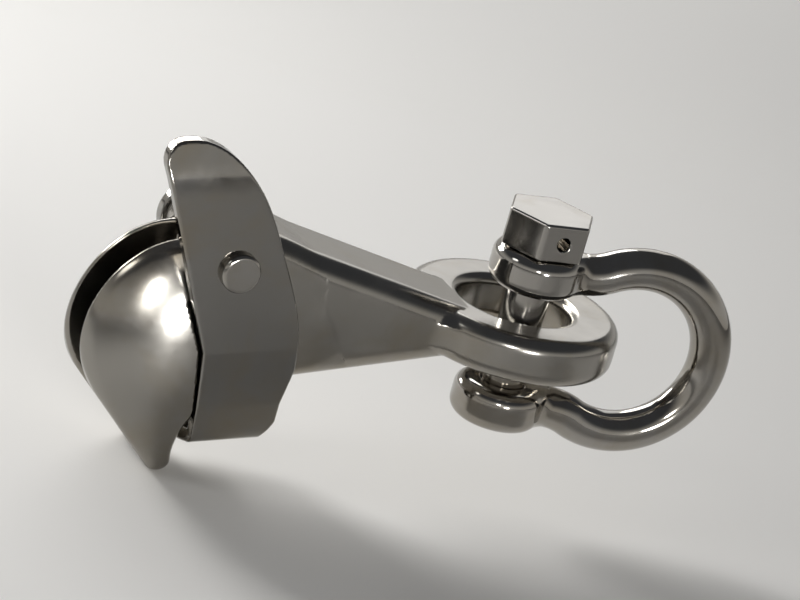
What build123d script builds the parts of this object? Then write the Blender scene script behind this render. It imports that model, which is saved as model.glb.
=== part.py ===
from build123d import *
import os
from math import acos, asin, atan2, cos, degrees, hypot, isclose, radians, sin, tan

# Chain hook for a short-link anchor chain, with its swinging latch and its bow shackle.
# Origin: centre of the chain wire that bears in the throat. +X runs from the claw to the eye,
# +Z up along the eye's axis, +Y away from the side with the thumb tab. Millimetres.

# Chain that the hook takes
chain_wire = 8.4
chain_bearing_angle = 150.0          # where the wire bears on the throat, from +X

# Eye ring
eye_x = 80.5
eye_z = 28.5
eye_outer_radius = 27.2
eye_hole_radius = 14.5
eye_thickness = 12.0
eye_rim_rounding = 3.5
eye_hole_rounding = 2.5
eye_root_rounding = 4.0              # hollow where the shank runs into the ring

# Shank and head, side view
throat_radius = 16.0
tip_radius = 3.0
tip_drop = 6.0                       # tip's centre below the throat's centre
head_x = -9.0
head_z = 20.0
head_radius = 24.5
head_crest_x = 1.0
head_crest_z = 48.5
shank_joint_x = 20.0                 # where the straight top of the shank begins
shank_joint_z = 45.0
core_half_width = 13.5
core_edge_rounding = 5.5
core_start_x = -3.0                  # the core begins under the latch; in front of it are the prongs alone

# Prongs: an ellipsoid gives the outline its crowned cheeks
dome_x = -5.5
dome_z = 22.5
dome_half_length = 36.0
dome_half_width = 16.5
dome_half_height = 44.0
dome_edge_rounding = 2.5
dome_end_x = 7.0                     # the dome stops here, under the latch
slot_clearance = 1.4
slot_root_x = -10.5
slot_roof_z = 19.0
slot_corner_radius = 6.0

# Latch pivot
pivot_x = -3.4
pivot_z = 41.7
pivot_pin_radius = 3.5
pivot_running_clearance = 0.08
pivot_fixed_clearance = 0.03
pivot_boss_radius = 7.5
pivot_head_radius = 4.9
pivot_head_height = 2.2
pivot_head_rounding = 1.0
collar_radius = 5.6
collar_thickness = 1.6
collar_rounding = 0.5
pin_tail_height = 0.9
washer_radius = 7.0
washer_thickness = 0.8

# Latch strap, in its own axes: u along its bend lines, w up through the pivot
latch_lean = 9.0
latch_open_angle = 24.0
latch_plate = 3.5
latch_crease_w = -21.0               # bend lines from the cheeks to the floor, each with its inset
latch_knee_w = -35.5
latch_knee_inset = 0.9
latch_heel_w = -44.5
latch_heel_inset = 2.5
latch_floor_w = -49.0
latch_floor_inset = 10.3
latch_bend_radius = 3.0
latch_left_u = -6.7
latch_right_u = 17.3
latch_left_lean = 15.5
heel_top_w = -27.0                   # back edge of the cheeks, narrowed towards the floor
heel_waist = (14.6, -36.0)
heel_corner = (14.2, -41.5)
floor_corner = (11.5, -45.5)
heel_corner_radius = 3.0
tab_top_w = 32.5
tab_top_u = -13.0
tab_waist = (11.6, 1.9)
tab_shoulder = (3.3, 21.0)
tab_corner_radius = 5.0
tab_curl_w = 23.0
tab_curl_angle = 16.0
tab_curl_radius = 30.0
rear_cheek_radius = 8.5
latch_side_clearance = 0.4
latch_slope_clearance = 0.3
relief_steps = 3
relief_overrun = 7.0                 # how far the relief runs past the cheeks' back edge, latch shut

# Bow shackle, in its own axes: r out from the pin's axis, z up from the middle of its jaw
shackle_pin_radius = 5.5
shackle_pin_clearance = 0.1
shackle_pin_chamfer = 0.8
pin_bearing_angle = -104.0           # where the pin bears on the wall of the eye, from +X
pin_bearing_gap = 0.05
shackle_rise = 0.7                   # middle of the jaw above the middle of the eye
shackle_swing = -9.0
shackle_bar = 10.4
jaw_width = 25.5
ear_radius = 11.5
ear_thickness = 10.5
ear_rounding = 3.5
arm_root_r = 12.0
bow_centre_r = 29.3
bow_radius = 22.0
hex_across_flats = 20.0
hex_height = 9.6
hex_chamfer = 0.7
wire_hole_radius = 1.75


def at_side(x, z):
    """A point of the side view, in the hook's middle plane."""
    return (x, 0, z)


def both_ways(face, half_width):
    """Extrudes a side-view face by the same length to the front and to the back."""
    return extrude(face, amount=half_width, dir=(0, 1, 0), both=True)


def on_circle(centre, radius, angle):
    """A point of a side-view circle, its angle counted from +X towards +Z."""
    return (centre[0] + radius * cos(radians(angle)), centre[1] + radius * sin(radians(angle)))


def side_arc(centre, radius, start, end):
    """Arc of a side-view circle between two angles."""
    points = [at_side(*on_circle(centre, radius, angle)) for angle in (start, (start + end) / 2, end)]
    return ThreePointArc(*points)


# Worked out from the sizes above
seat_reach = throat_radius - chain_wire / 2
throat = on_circle((0, 0), seat_reach, chain_bearing_angle - 180)
head = (head_x, head_z)
tip_angle = 180 + degrees(asin(tip_drop / (throat_radius + tip_radius)))
tip = on_circle(throat, throat_radius + tip_radius, tip_angle)
shank_end_x = eye_x - eye_hole_radius - eye_hole_rounding
shank_end_low = (shank_end_x, eye_z - eye_thickness / 2)
shank_end_high = (shank_end_x, eye_z + eye_thickness / 2)
strap_middle = core_half_width + washer_thickness + latch_plate / 2
strap_outside = strap_middle + latch_plate / 2
tab_height = tab_top_w - latch_crease_w


def hook_outline():
    """Side view of shank, head and tip: arcs joined by the lines that touch them."""
    gap_x, gap_z = head[0] - tip[0], head[1] - tip[1]
    narrowing = asin((head_radius - tip_radius) / hypot(gap_x, gap_z))
    taper_angle = degrees(atan2(gap_z, gap_x) + narrowing) + 90
    low_x, low_z = shank_end_low[0] - throat[0], shank_end_low[1] - throat[1]
    throat_end = degrees(atan2(low_z, low_x) + acos(throat_radius / hypot(low_x, low_z)))
    head_top = on_circle(head, head_radius, 90)
    head_low = on_circle(head, head_radius, taper_angle)
    tip_left = on_circle(tip, tip_radius, taper_angle)
    throat_top = on_circle(throat, throat_radius, throat_end)
    top_slope = (shank_joint_x - shank_end_high[0], 0, shank_joint_z - shank_end_high[1])
    joint = at_side(shank_joint_x, shank_joint_z)
    edges = [
        Line(at_side(*shank_end_low), at_side(*shank_end_high)),
        Line(at_side(*shank_end_high), joint),
        Spline(joint, at_side(head_crest_x, head_crest_z), at_side(*head_top),
               tangents=[top_slope, (-1, 0, 0)]),
        side_arc(head, head_radius, 90, taper_angle),
        Line(at_side(*head_low), at_side(*tip_left)),
        side_arc(tip, tip_radius, taper_angle, tip_angle + 180),
        side_arc(throat, throat_radius, tip_angle, throat_end),
        Line(at_side(*throat_top), at_side(*shank_end_low)),
    ]
    return make_face(Wire(edges))


def eye_ring():
    """Flat ring with rounded rims, turned about the vertical axis of the eye."""
    middle = Pos((eye_outer_radius + eye_hole_radius) / 2, 0)
    profile = middle * Rectangle(eye_outer_radius - eye_hole_radius, eye_thickness)
    profile = fillet(profile.vertices().group_by(Axis.X)[-1], eye_rim_rounding)
    profile = fillet(profile.vertices().group_by(Axis.X)[0], eye_hole_rounding)
    return Pos(eye_x, 0, eye_z) * revolve(Plane.XZ * profile, Axis.Z)


def across_pivot(radius, low_y, high_y):
    """A cylinder on the latch pivot's axis, from one Y to another."""
    return Pos(pivot_x, (low_y + high_y) / 2, pivot_z) * Rot(90, 0, 0) * Cylinder(radius, high_y - low_y)


def at_pivot(shape):
    """Moves a shape from the latch's own axes to its place on the hook."""
    return Pos(pivot_x, 0, pivot_z) * Rot(0, -latch_lean, 0) * shape


def hook_core(outline):
    """Shank and head as one plate of the shank's width, its long edges well rounded."""
    core = both_ways(outline, core_half_width)
    long_edges = core.edges().filter_by(Plane.XZ)
    long_edges = long_edges.filter_by(lambda e: e.center().X < shank_end_x - core_edge_rounding)
    core = fillet(long_edges, core_edge_rounding)
    reach = Box(shank_end_x - core_start_x, 2 * core_half_width, 4 * head_radius,
                align=(Align.MIN, Align.CENTER, Align.CENTER))
    return core & Pos(core_start_x, 0, head_z) * reach


def prong_dome(outline):
    """The same outline inside an ellipsoid: the crowned cheeks of the claw, rounded along their rim."""
    ellipsoid = scale(Sphere(1), by=(dome_half_length, dome_half_width, dome_half_height))
    reach = Box(2 * dome_half_length, 2 * dome_half_width, 2 * dome_half_height,
                align=(Align.MAX, Align.CENTER, Align.CENTER))
    dome = both_ways(outline, dome_half_width) & Pos(dome_x, 0, dome_z) * ellipsoid
    dome = dome & Pos(dome_end_x, 0, dome_z) * reach
    rim = dome.edges().filter_by(GeomType.LINE, reverse=True)
    rim = rim.filter_by(lambda e: e.center().X < dome_end_x - dome_edge_rounding)
    rim = rim.filter_by(lambda e: abs(e.center().Y) > chain_wire / 2)
    return fillet(rim, dome_edge_rounding)


def strap_bends():
    """Corners of the strap's middle line below its cheeks, in Y and w, front to rear."""
    rear = [(strap_middle, latch_crease_w), (strap_middle - latch_knee_inset, latch_knee_w),
            (strap_middle - latch_heel_inset, latch_heel_w),
            (strap_middle - latch_floor_inset, latch_floor_w + latch_plate / 2)]
    return [(-y, w) for y, w in rear] + rear[::-1]


def latch_relief(opening):
    """Space that the cheeks need beside the hook with the latch opened by an angle."""
    left = latch_left_u - latch_side_clearance
    right = latch_right_u + latch_side_clearance + relief_overrun * (1 - opening / latch_open_angle)
    top_left = left - tab_height * tan(radians(latch_left_lean))
    area = make_face(Polyline(
        (left, 0, latch_floor_w), (left, 0, latch_crease_w), (top_left, 0, tab_top_w), (right, 0, tab_top_w),
        (right, 0, latch_floor_w), close=True))
    tops = [(strap_middle, tab_top_w), (-strap_middle, tab_top_w)]
    inside = make_face(Polyline(*strap_bends(), *tops, close=True))
    inside = offset(inside, -latch_plate / 2 - latch_slope_clearance, kind=Kind.INTERSECTION)
    flanks = Rectangle(2 * core_half_width, 4 * tab_top_w)
    kept = Plane.YZ * (inside & flanks)
    relief = both_ways(area, dome_half_width) - extrude(kept, amount=dome_half_length, both=True)
    return Pos(pivot_x, 0, pivot_z) * Rot(0, -latch_lean - opening, 0) * relief


def chain_slot():
    """Slot for the standing link: open at the nose, closed in front of the pivot and above the throat."""
    far_x = head_x - 2 * head_radius
    far_z = head_crest_z + head_radius
    low_z = tip[1] - head_radius
    points = [(far_x, far_z), (slot_root_x, far_z), (slot_root_x, slot_roof_z), (throat[0], slot_roof_z),
              throat, (throat[0] - throat_radius / 2, low_z), (far_x, low_z)]
    area = make_face(Polyline(*points, close=True))
    corners = area.vertices().filter_by(lambda v: isclose(v.Y, slot_roof_z))
    area = fillet(corners, slot_corner_radius)
    return both_ways(Plane.XZ * area, (chain_wire + slot_clearance) / 2)


def hook_body():
    """One casting: eye, shank and two-pronged claw."""
    outline = hook_outline()
    claw = prong_dome(outline) + hook_core(outline)
    for step in range(relief_steps + 1):
        claw = claw - latch_relief(latch_open_angle * step / relief_steps)
    claw = claw + across_pivot(pivot_boss_radius, -core_half_width, core_half_width)
    ring = eye_ring()
    solid = claw + ring
    solid = fillet(new_edges(claw, ring, combined=solid), eye_root_rounding)
    solid = solid - chain_slot()
    return solid - across_pivot(pivot_pin_radius + pivot_fixed_clearance, -dome_half_width, dome_half_width)


def latch_section():
    """Middle line of the bent plate, front cheek to rear cheek, seen along its bend lines."""
    top_w = tab_top_w + latch_plate
    curl = (top_w - tab_curl_w) * tan(radians(tab_curl_angle))
    points = [(curl - strap_middle, top_w), (-strap_middle, tab_curl_w), *strap_bends(),
              (strap_middle, rear_cheek_radius + latch_plate)]
    radii = [tab_curl_radius] + [latch_bend_radius] * len(strap_bends())
    return Plane.YZ * trace(FilletPolyline(*points, radius=radii), latch_plate)


def heel_edge():
    """Back edge of both cheeks from the floor up to the crease."""
    points = [(floor_corner[0], latch_floor_w), floor_corner, heel_corner, heel_waist,
              (latch_right_u, heel_top_w), (latch_right_u, latch_crease_w)]
    return FilletPolyline(*points, radius=heel_corner_radius).edges()


def front_cheek():
    """Side view of the front cheek with its thumb tab."""
    top_left_u = latch_left_u - tab_height * tan(radians(latch_left_lean))
    back_edge = Spline((latch_right_u, latch_crease_w), tab_waist, tab_shoulder, (tab_top_u, tab_top_w),
                       tangents=[(0, 1), (-1, 0)])
    front_edge = Polyline((tab_top_u, tab_top_w), (top_left_u, tab_top_w), (latch_left_u, latch_crease_w),
                          (latch_left_u, latch_floor_w), (floor_corner[0], latch_floor_w))
    face = make_face(Wire([back_edge, *front_edge.edges(), *heel_edge()]))
    corner = face.vertices().sort_by(Axis.X)[0]
    return Plane.XZ * fillet(corner, tab_corner_radius)


def rear_cheek():
    """Side view of the rear cheek: the same band, ending in a round eye at the pivot."""
    crease = Line((latch_left_u, latch_crease_w), (latch_right_u, latch_crease_w))
    rest = Polyline((latch_right_u, latch_crease_w), (latch_left_u, latch_crease_w),
                    (latch_left_u, latch_floor_w), (floor_corner[0], latch_floor_w))
    band = make_face(Wire([*rest.edges(), *heel_edge()]))
    return Plane.XZ * (band + make_hull([*Circle(rear_cheek_radius).edges(), crease]))


def latch_strap():
    """Bent plate: two cheeks on the pivot and a floor that shuts the throat."""
    reach = 2 * core_half_width
    sheet = extrude(latch_section(), amount=reach, both=True)
    front = extrude(front_cheek(), amount=reach, dir=(0, -1, 0))
    rear = extrude(rear_cheek(), amount=reach, dir=(0, 1, 0))
    strap = at_pivot(sheet & (front + rear))
    return strap - across_pivot(pivot_pin_radius + pivot_running_clearance, -reach, reach)


def pivot_pin():
    """Pin through both cheeks, with a low round head in front and a peened tail behind."""
    shaft = across_pivot(pivot_pin_radius, -strap_outside, strap_outside + collar_thickness + pin_tail_height)
    tail = shaft.edges().sort_by(Axis.Y)[-1]
    shaft = fillet(tail, pin_tail_height / 2)
    button = across_pivot(pivot_head_radius, -strap_outside - pivot_head_height, -strap_outside)
    rim = button.edges().sort_by(Axis.Y)[0]
    return shaft + fillet(rim, pivot_head_rounding)


def pivot_collar():
    """Round collar on the pin's tail, behind the rear cheek."""
    back = strap_outside + collar_thickness
    ring = across_pivot(collar_radius, strap_outside, back)
    ring = fillet(ring.edges().sort_by(Axis.Y)[-1], collar_rounding)
    return ring - across_pivot(pivot_pin_radius + pivot_fixed_clearance, strap_outside, back)


def pivot_washer(side):
    """Thin washer between a flank of the hook and a cheek; side is -1 in front and 1 behind."""
    low_y, high_y = sorted((side * core_half_width, side * (core_half_width + washer_thickness)))
    hole = across_pivot(pivot_pin_radius + pivot_running_clearance, low_y, high_y)
    return across_pivot(washer_radius, low_y, high_y) - hole


def at_shackle(shape, swing):
    """Moves a shape from the shackle's own axes to its place in the eye."""
    reach = eye_hole_radius - shackle_pin_radius - pin_bearing_gap
    angle = radians(pin_bearing_angle)
    place = Pos(eye_x + reach * cos(angle), reach * sin(angle), eye_z + shackle_rise)
    return place * Rot(0, 0, swing) * shape


def bow_path(arm_z):
    """Middle line of the bar: from ear to ear through two reverse bends and the round bow."""
    run = bow_centre_r - arm_root_r
    bend_radius = (run ** 2 + arm_z ** 2 - bow_radius ** 2) / (2 * (bow_radius - arm_z))
    bend_angle = degrees(atan2(run, arm_z + bend_radius))
    share = bend_radius / (bend_radius + bow_radius)
    touch = (arm_root_r + run * share, arm_z + bend_radius - (arm_z + bend_radius) * share)
    middle = (arm_root_r + bend_radius * sin(radians(bend_angle / 2)),
              arm_z + bend_radius - bend_radius * cos(radians(bend_angle / 2)))
    upper = [Line((0, 0, arm_z), (arm_root_r, 0, arm_z)),
             ThreePointArc((arm_root_r, 0, arm_z), at_side(*middle), at_side(*touch))]
    lower = [edge.mirror(Plane.XY) for edge in upper]
    bow = ThreePointArc(at_side(*touch), (bow_centre_r + bow_radius, 0, 0), at_side(touch[0], -touch[1]))
    return Wire([*upper, bow, *lower])


def shackle_bow():
    """Round bar bent to a bow, with a flat round ear at each end."""
    arm_z = (jaw_width + ear_thickness) / 2
    # The seams of the bar and of the ears are turned away from each other, so that the two join cleanly
    section = Plane(origin=(0, 0, arm_z), z_dir=(1, 0, 0)) * Rot(0, 0, 90) * Circle(shackle_bar / 2)
    ear = Cylinder(ear_radius, ear_thickness)
    ear = Rot(0, 0, 180) * fillet(ear.edges().filter_by(GeomType.CIRCLE), ear_rounding)
    bow = sweep(section, path=bow_path(arm_z)) + Pos(0, 0, arm_z) * ear + Pos(0, 0, -arm_z) * ear
    bore = Cylinder(shackle_pin_radius + shackle_pin_clearance, jaw_width + 3 * ear_thickness)
    return at_shackle(bow - bore, shackle_swing)


def shackle_pin():
    """Headed pin: hexagon with a cross hole for seizing wire, shaft through both ears."""
    half_length = jaw_width / 2 + ear_thickness
    shaft = Cylinder(shackle_pin_radius, 2 * half_length)
    shaft = chamfer(shaft.edges().filter_by(GeomType.CIRCLE).sort_by(Axis.Z)[0], shackle_pin_chamfer)
    head_face = RegularPolygon(hex_across_flats / 2, 6, major_radius=False)
    hexagon = extrude(head_face, amount=hex_height)
    hexagon = chamfer(hexagon.faces().sort_by(Axis.Z)[-1].edges(), hex_chamfer)
    pin = shaft + Pos(0, 0, half_length) * hexagon
    wire_hole = Rot(90, 0, 0) * Cylinder(wire_hole_radius, 2 * hex_across_flats)
    return at_shackle(pin - Pos(0, 0, half_length + hex_height / 2) * wire_hole, 0)


nodes = {
    "hook_body": hook_body(),
    "latch_strap": latch_strap(),
    "latch_pivot_pin": pivot_pin(),
    "latch_pivot_collar": pivot_collar(),
    "latch_washer_front": pivot_washer(-1),
    "latch_washer_rear": pivot_washer(1),
    "shackle_bow": shackle_bow(),
    "shackle_pin": shackle_pin(),
}
os.makedirs("parts", exist_ok=True)
for name, shape in nodes.items():
    export_step(shape, f"parts/{name}.step")
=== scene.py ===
"""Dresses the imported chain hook: polished stainless pieces, acetal washers, floor, lamps and camera."""

from math import acos, asin, atan2, cos, degrees, hypot, pi, radians, sin, tan

import bpy
import numpy as np
from mathutils import Matrix, Vector


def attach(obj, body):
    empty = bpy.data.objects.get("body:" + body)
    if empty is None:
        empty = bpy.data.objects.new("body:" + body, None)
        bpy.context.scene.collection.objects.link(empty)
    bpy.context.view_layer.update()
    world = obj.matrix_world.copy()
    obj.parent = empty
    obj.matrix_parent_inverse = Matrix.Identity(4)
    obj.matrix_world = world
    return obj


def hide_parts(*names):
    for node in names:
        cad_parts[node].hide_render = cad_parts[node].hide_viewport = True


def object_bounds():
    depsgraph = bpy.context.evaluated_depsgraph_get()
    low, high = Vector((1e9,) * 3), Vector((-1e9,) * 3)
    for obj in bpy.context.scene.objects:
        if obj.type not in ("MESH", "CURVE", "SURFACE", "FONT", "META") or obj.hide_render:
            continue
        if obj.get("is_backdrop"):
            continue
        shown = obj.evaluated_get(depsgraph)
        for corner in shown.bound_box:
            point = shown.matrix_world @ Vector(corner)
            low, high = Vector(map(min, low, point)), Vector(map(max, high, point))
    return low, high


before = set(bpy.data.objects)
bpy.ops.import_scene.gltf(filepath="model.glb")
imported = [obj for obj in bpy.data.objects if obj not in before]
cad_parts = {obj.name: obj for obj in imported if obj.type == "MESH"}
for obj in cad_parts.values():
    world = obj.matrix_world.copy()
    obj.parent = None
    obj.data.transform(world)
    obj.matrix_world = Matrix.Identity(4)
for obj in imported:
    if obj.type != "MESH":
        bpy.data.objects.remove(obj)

bl_info = {
    "name": "Chain hook with latch and bow shackle",
    "version": (1, 0, 0),
    "blender": (4, 5, 0),
    "location": "3D View > Sidebar > Chain hook",
    "description": "Builds the polished pieces of a chain hook around its packed solids",
    "category": "Object",
}

MM = 0.001
FAR = 1e6                            # farther than anything here, for distances
NEAR = 0.04                          # step for slopes of a distance
SETTLING = 3                         # times that a surface's points move onto it

# Sizes shared with the solids, in millimetres. The casting's places are X and Z, the latch's are u, along its
# bend lines, and w, up through its pivot.

SEAT_REACH = 11.8                    # from the bearing point, at the origin, to the throat's middle
SEAT_ANGLE = -30.0
THROAT_RADIUS = 16.0
TIP_RADIUS = 3.0
TIP_DROP = 6.0
HEAD = (-9.0, 20.0)
HEAD_RADIUS = 24.5
CREST = (1.0, 48.5)
SHANK_JOINT = (20.0, 45.0)
CORE_START = -3.0
CORE_HALF = 13.5
CORE_ROUNDING = 5.5
PRONG_END = 7.0
HIDDEN_EDGE = 1.0                    # where core and prongs end inside each other
DOME = (-7.0, 10.0)
DOME_HALF = 16.3
DOME_REACH = ((30.5, 60.0), (34.0, 40.0))    # to the left and right of its middle, and below and above it
DOME_ROUNDING = 2.5
SLOT_HALF = 4.9
SLOT_ROOT = -10.5
SLOT_ROOF = 19.0
SLOT_CORNER = 6.0
SLOT_EDGE = 1.0
EYE = (80.5, 28.5)
EYE_OUTER = 27.2
EYE_HOLE = 14.5
EYE_HALF = 6.0
EYE_RIM_ROUNDING = 3.5
EYE_HOLE_ROUNDING = 2.5
EYE_FILLET = 4.0                     # between shank and ring, fading towards the ring's flats
EYE_FILLET_FADE = 3.0
CASTING_BOX = ((-33.5, -27.2, -14.9), (107.7, 27.2, 49.2))

PIVOT = (-3.4, 41.7)
PIVOT_PIN = 3.5
PIVOT_HEAD = (4.9, 2.2)              # radius and height
PIVOT_TAIL = 0.9
PIVOT_RADII = (1.0, 0.15, 0.05, 0.45)        # at the head's rim and foot, the shaft's start and the tail
COLLAR = (5.6, 1.6)
COLLAR_ROUNDING = 0.5
RING_BORE_EDGE = 0.1
WASHER = 0.8
WASHER_RADIUS = 7.0
WASHER_ROUNDING = 0.15
BOSS_RADIUS = 7.5
BOSS_HALF = 14.5
BOSS_FILLET = 1.5
PRESSED = 0.03                       # gap about the pivot pin where it is held, and where the latch turns
TURNING = 0.08
BORE_EDGE = 0.2

PLATE = 3.5
PLATE_EDGE = 0.5
LATCH_LEAN = 9.0
LATCH_OPEN = 24.0
LATCH_LEFT = -6.7
LATCH_RIGHT = 17.3
LATCH_LEFT_LEAN = 15.5
CREASE = -21.0
STRAP_FLOOR = -49.0
STRAP_MIDDLE = CORE_HALF + WASHER + PLATE / 2
STRAP_OUTSIDE = STRAP_MIDDLE + PLATE / 2
STRAP_BENDS = ((0.0, CREASE), (0.9, -35.5), (2.5, -44.5), (10.3, STRAP_FLOOR + PLATE / 2))   # inward, and w
STRAP_HEEL = ((11.5, STRAP_FLOOR), (11.5, -45.5), (14.2, -41.5), (14.6, -36.0), (LATCH_RIGHT, -27.0))
BEND_RADIUS = 3.0
SHARP = 0.01                         # radius of a corner that is left sharp
TAB_TOP = (-13.0, 32.5)
TAB_BACK = ((11.6, 1.9), (3.3, 21.0))
TAB_CORNER = 5.0
TAB_CURL = 16.0                      # degrees, from a height above the pivot
TAB_CURL_START = 23.0
TAB_CURL_RADIUS = 30.0
REAR_EYE = 8.5
LATCH_BOX = ((-23.2, -17.8, STRAP_FLOOR), (17.4, 17.8, TAB_TOP[1] + 0.1))
RELIEF_STEPS = 3                     # steps of the latch's opening that the relief in the casting is cut for
RELIEF_GAP = 0.4                     # beside the strap's edges, and inside the strap
RELIEF_INSIDE = 0.3
RELIEF_OVERRUN = 7.0
RELIEF_EDGE = 0.4

# The shackle's places are along the bow from the pin's axis, and up along that axis.

SHACKLE_PIN = 5.5
PIN_REACH = EYE_HOLE - SHACKLE_PIN - 0.05    # the pin all but bears on the eye's wall
PIN_ANGLE = radians(-104.0)
PIN_AXIS = (EYE[0] + PIN_REACH * cos(PIN_ANGLE), PIN_REACH * sin(PIN_ANGLE), EYE[1] + 0.7)
PIN_FOOT_EDGE = 0.8
SHACKLE_SWING = -9.0
BAR_RADIUS = 5.2
JAW_HALF = 12.75
EAR_RADIUS = 11.5
EAR_THICKNESS = 10.5
EAR_MIDDLE = JAW_HALF + EAR_THICKNESS / 2
EAR_TOP = JAW_HALF + EAR_THICKNESS
EAR_ROUNDING = 3.5
EAR_FILLET = 2.5
EAR_FLAT = 0.7                       # how far the ears' flats reach into the bar
EAR_EDGE = 0.4
EAR_BORE_GAP = 0.1
EAR_BORE_EDGE = 0.5
ARM_ROOT = 12.0
BOW_CENTRE = 29.3
BOW_RADIUS = 22.0
BOW_BOX = ((-11.5, -11.5, -27.2), (56.5, 11.5, 27.2))
HEX_HALF = 10.0
HEX_HEIGHT = 9.6
HEX_EDGE = 0.6
HEX_END_EDGE = 0.7
SHAFT_IN_HEAD = 1.0
WIRE_HOLE = 1.75
WIRE_HOLE_EDGE = 0.4
PIN_BOX = ((-11.6, -HEX_HALF, -23.3), (11.6, HEX_HALF, 32.9))

# Patterns of the finishes, in millimetres across, and the sockets of a colour mix

DULL_PATCH = 11.0
STAIN_PATCH = 26.0
SAW_MARK = 0.8
MIX_SHARE, MIX_FIRST, MIX_SECOND, MIX_RESULT = 0, 6, 7, 2

# The photograph's camera: its place about the eye, its focus in pixels, and where the hook lies in the frame

VIEW_AZIMUTH = -27.5
VIEW_ELEVATION = 20.5
VIEW_ROLL = 15.7
FRAME = (800, 600)
FOCUS = 1200.0
SCALE_AT_EYE = 1.26                  # pixels to a millimetre
EYE_IN_PHOTO = (455.13, 298.14)
HOOK_IN_PHOTO = (421.0, 291.5)
ZOOM = 3.2                           # longer lens than the photograph's, which shows the hook small
SENSOR = 36.0
WALL_TO_CEILING = (0.15, 0.55)       # heights of a direction between which the room darkens
ROUND_LAMP = 0.2                     # widest round lamp, in metres

# Lamps: place aimed at, azimuth and elevation from it, distance, size, beam in degrees, power in watts. Steel
# shows what it mirrors. So the key stands behind on the left and shades the floor that the front mirrors, the
# back box and panel brighten the far floor and the tops, and the two spots make the soft lights on the prong.

LAMPS = {
    "key_lamp": ((0.0, 0.10, 0.0), -152.0, 24.0, 0.9, (0.3, 0.3), 60.0, 1.1),
    "back_box": ((0.05, 0.55, -0.015), 175.0, 52.0, 0.9, (0.8, 0.5), 110.0, 3.0),
    "back_panel": ((0.05, 0.0, 0.03), 152.5, 28.0, 0.9, (0.5, 0.4), 180.0, 0.7),
    "left_lamp": ((-0.07, -0.07, -0.015), -100.0, 45.0, 0.5, (0.15, 0.15), 50.0, 0.03),
    "spot_above": ((-0.019, -0.015, 0.031), -12.0, 13.0, 0.6, (0.09, 0.09), 40.0, 0.045),
    "spot_below": ((-0.013, -0.016, 0.025), 8.0, 2.0, 0.6, (0.11, 0.11), 40.0, 0.06),
}


def linear(hex_colour):
    """sRGB hex to the linear colour that a shader socket takes."""
    value = int(hex_colour.lstrip("#"), 16)
    parts = [((value >> shift) & 255) / 255 for shift in (16, 8, 0)]
    return (*[p / 12.92 if p <= 0.04045 else ((p + 0.055) / 1.055) ** 2.4 for p in parts], 1.0)


# Distances: negative inside, in millimetres, for numbers or whole arrays


def join(a, b, radius):
    """Union of two distances, the inner corner between them filled with a radius."""
    corner = np.hypot(np.maximum(radius - a, 0), np.maximum(radius - b, 0))
    return np.maximum(radius, np.minimum(a, b)) - corner


def trim(a, b, radius):
    """What two distances share, the outer edge between them rounded with a radius."""
    corner = np.hypot(np.maximum(radius + a, 0), np.maximum(radius + b, 0))
    return np.minimum(-radius, np.maximum(a, b)) + corner


def line_distance(x, z, start, end):
    """Distance to a straight run, and its signed side, negative on the left."""
    dx, dz = end[0] - start[0], end[1] - start[1]
    length = hypot(dx, dz)
    along = np.clip(((x - start[0]) * dx + (z - start[1]) * dz) / length**2, 0, 1)
    away = np.hypot(x - start[0] - along * dx, z - start[1] - along * dz)
    return away, ((x - start[0]) * dz - (z - start[1]) * dx) / length


def arc_distance(x, z, centre, radius, start, sweep):
    """Distance to an arc within its sweep of degrees, and its signed side, negative on the left."""
    angle = np.degrees(np.arctan2(z - centre[1], x - centre[0]))
    off = np.abs((angle - start - sweep / 2 + 180) % 360 - 180)
    beyond = np.hypot(x - centre[0], z - centre[1]) - radius
    return np.where(off <= abs(sweep) / 2 + 1e-4, np.abs(beyond), FAR), beyond * (1 if sweep > 0 else -1)


def path_distance(x, z, path):
    """Signed distance to a path of lines and arcs: nearest piece's distance, with the side of that piece."""
    x, z = np.broadcast_arrays(x, z)
    best = np.full(x.shape, FAR)
    signed = np.full(x.shape, FAR)
    for kind, *values in path:
        away, side = (line_distance if kind == "line" else arc_distance)(x, z, *values)
        nearer = away < best
        best = np.where(nearer, away, best)
        signed = np.where(nearer, np.copysign(away, side), signed)
    return signed


def rounded_path(points, radii):
    """Runs between points, joined at each inner point by the arc of its radius that touches both runs."""
    path, start = [], points[0]
    for before, corner, after, radius in zip(points, points[1:], points[2:], radii):
        into = Vector(corner) - Vector(before)
        out = Vector(after) - Vector(corner)
        turn = into.angle_signed(out) * -1
        cut = radius * tan(abs(turn) / 2)
        first = Vector(corner) - into.normalized() * cut
        side = 1 if turn > 0 else -1
        centre = first + Vector((-into.y, into.x)).normalized() * radius * side
        begin = degrees(atan2(first.y - centre.y, first.x - centre.x))
        path += [("line", start, tuple(first)), ("arc", tuple(centre), radius, begin, degrees(turn))]
        start = tuple(Vector(corner) + out.normalized() * cut)
    return path + [("line", start, points[-1])]


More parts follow.
